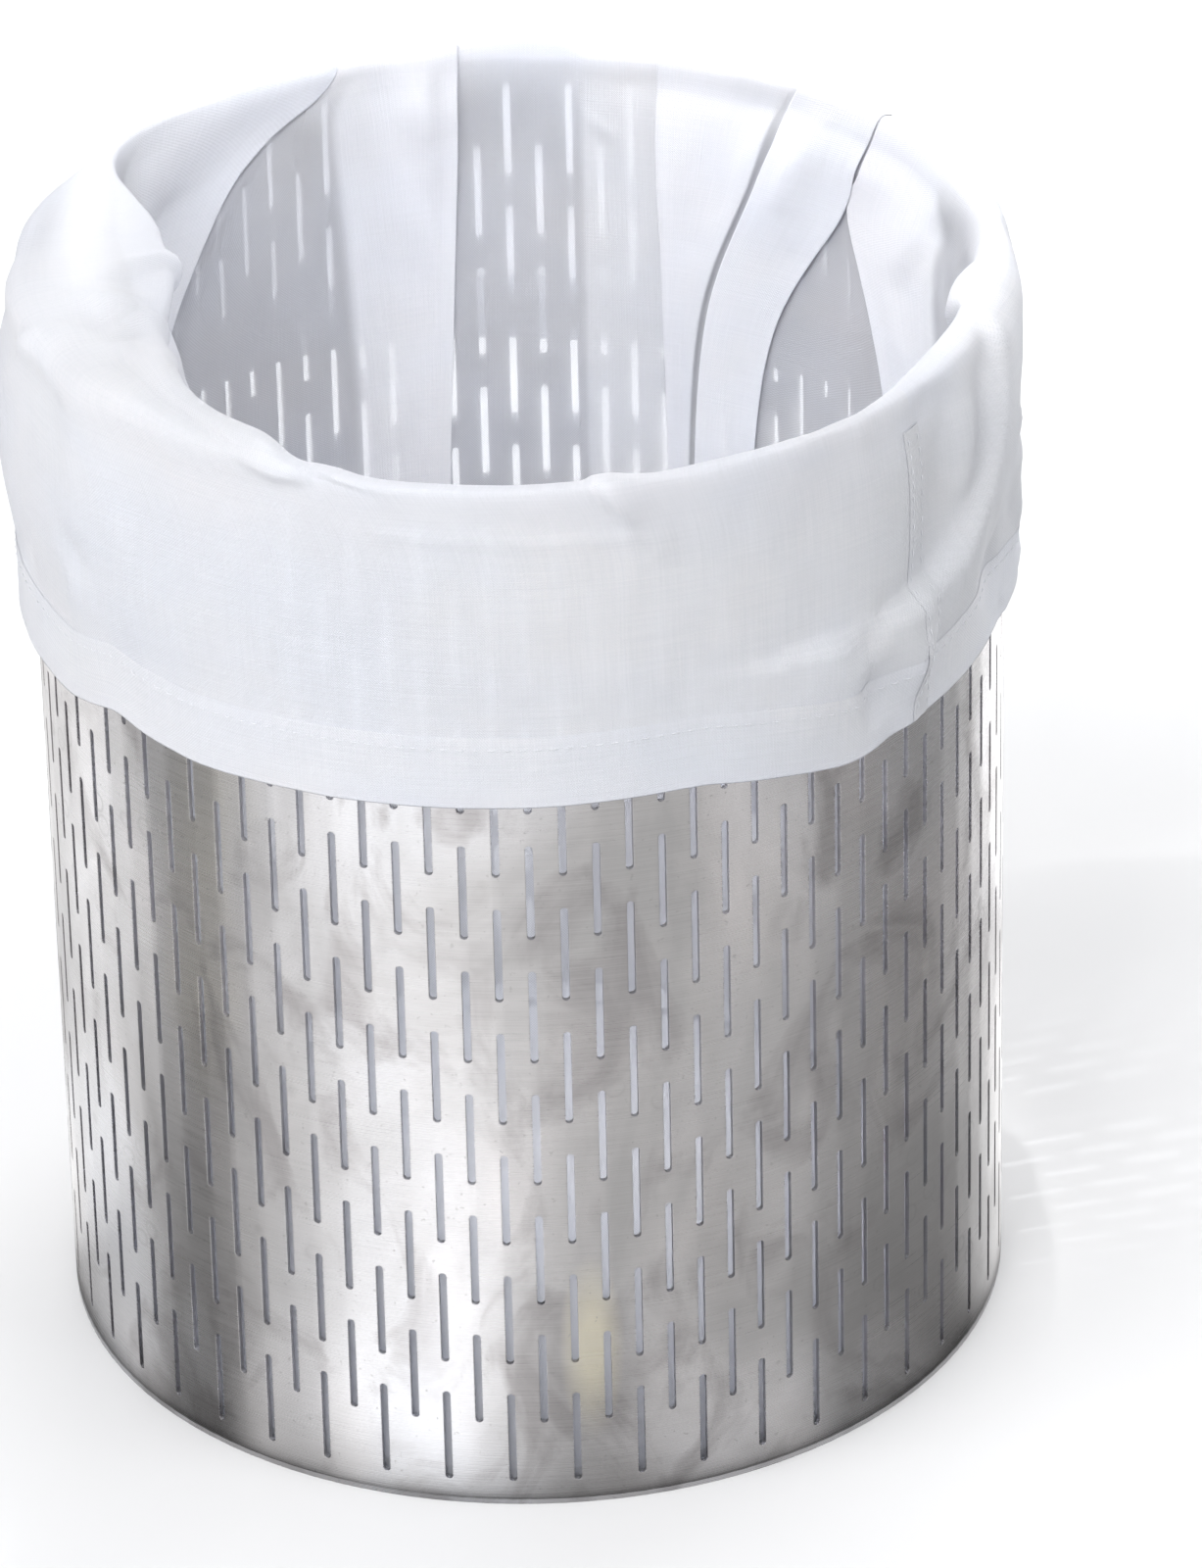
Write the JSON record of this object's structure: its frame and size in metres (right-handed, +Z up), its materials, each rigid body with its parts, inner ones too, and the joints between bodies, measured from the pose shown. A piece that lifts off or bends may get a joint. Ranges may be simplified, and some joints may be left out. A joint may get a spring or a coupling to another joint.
{
  "type": "cheese mold",
  "caption": "Tall round slotted stainless cheese mold with a drain plate, lined with a press-cloth bag that is turned down over the rim as a cuff and lifts out.",
  "frame": {"origin": "middle of the ring that the wall stands on", "axes": "+Z up along the axis of the mold, -Y towards the front, with the weld of the wall at the back and the side seam of the cuff on the front right"},
  "size_m": [0.1982, 0.1981, 0.2245],
  "materials": {
    "steel": "brushed round the wall, with water marks",
    "cloth": "fine open plain weave, half see-through in one layer",
    "thread": "matt spun polyester"
  },
  "bodies": {
    "mold": {"slotted_wall": "steel", "wall_weld": "steel", "drain_plate": "steel", "plate_tacks": "steel"},
    "bag": {"bag_wall": "cloth", "bag_floor": "cloth", "floor_seam": "cloth", "cuff_hem": "cloth", "side_seam": "cloth", "hem_thread": "thread", "side_threads": "thread"}
  },
  "joints": [
    {"name": "bag_lift", "type": "slide", "parent": "mold", "child": "bag", "axis": [0, 0, 1], "range_m": [0, 0.24]}
  ]
}
